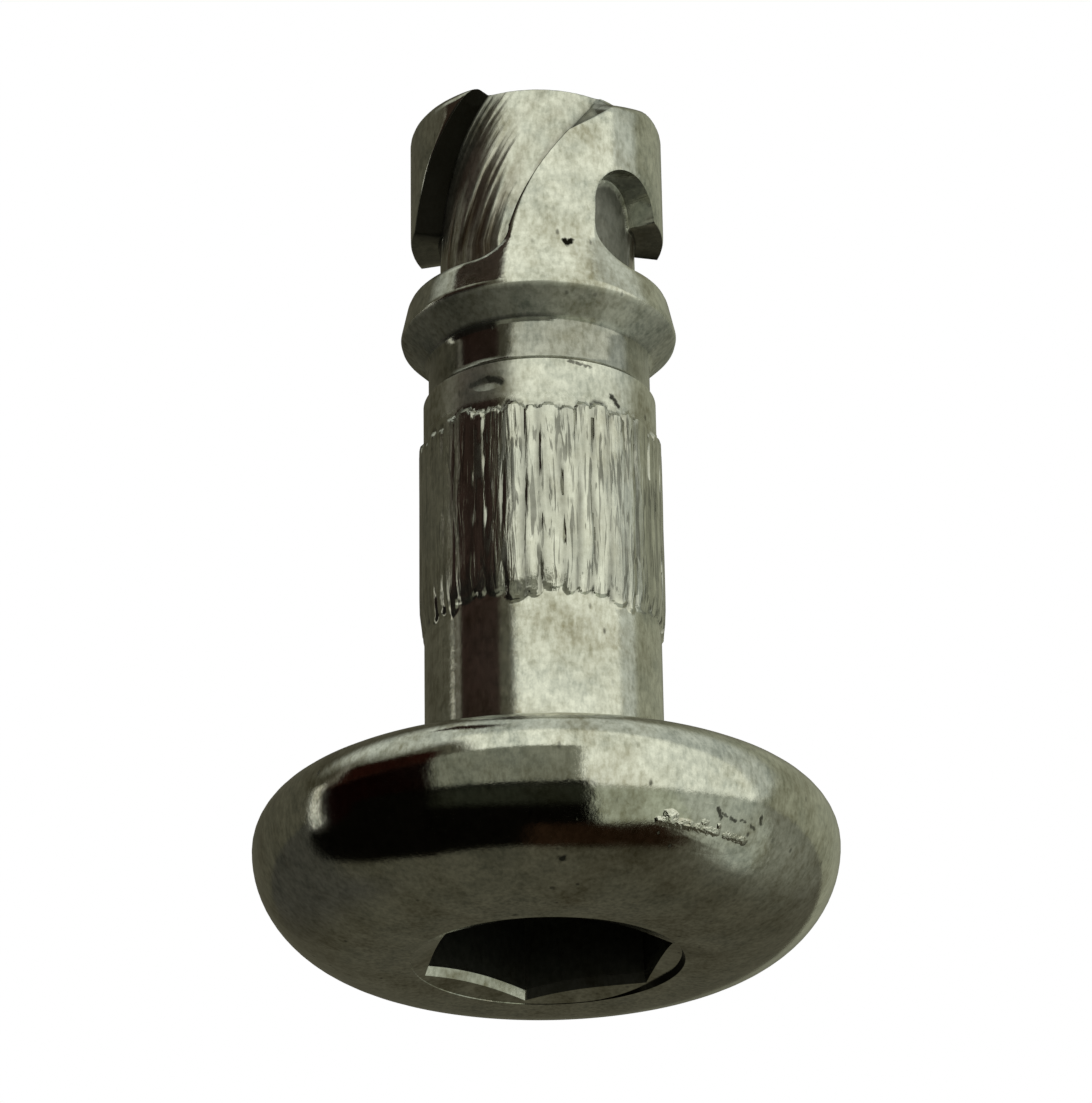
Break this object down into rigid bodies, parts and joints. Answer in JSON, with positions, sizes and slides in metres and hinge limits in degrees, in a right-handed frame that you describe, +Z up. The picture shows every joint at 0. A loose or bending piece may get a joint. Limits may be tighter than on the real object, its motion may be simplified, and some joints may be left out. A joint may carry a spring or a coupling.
{
  "type": "quarter-turn fastener stud",
  "caption": "Turned steel quarter-turn stud: domed head with a hexagon socket, knurled shank, retaining collar and a helical cam tip that locks in a receptacle.",
  "frame": {"origin": "middle of the flat crown that the stud stands on, at the mouth of the hexagon socket", "axes": "+Z up the shank to the cam tip, -Y towards the side that the picture shows"},
  "size_m": [0.016, 0.016, 0.0253],
  "materials": {
    "plated_steel": "dull zinc plating over turned steel"
  },
  "bodies": {
    "root": {"stud": "plated_steel"}
  },
  "joints": []
}
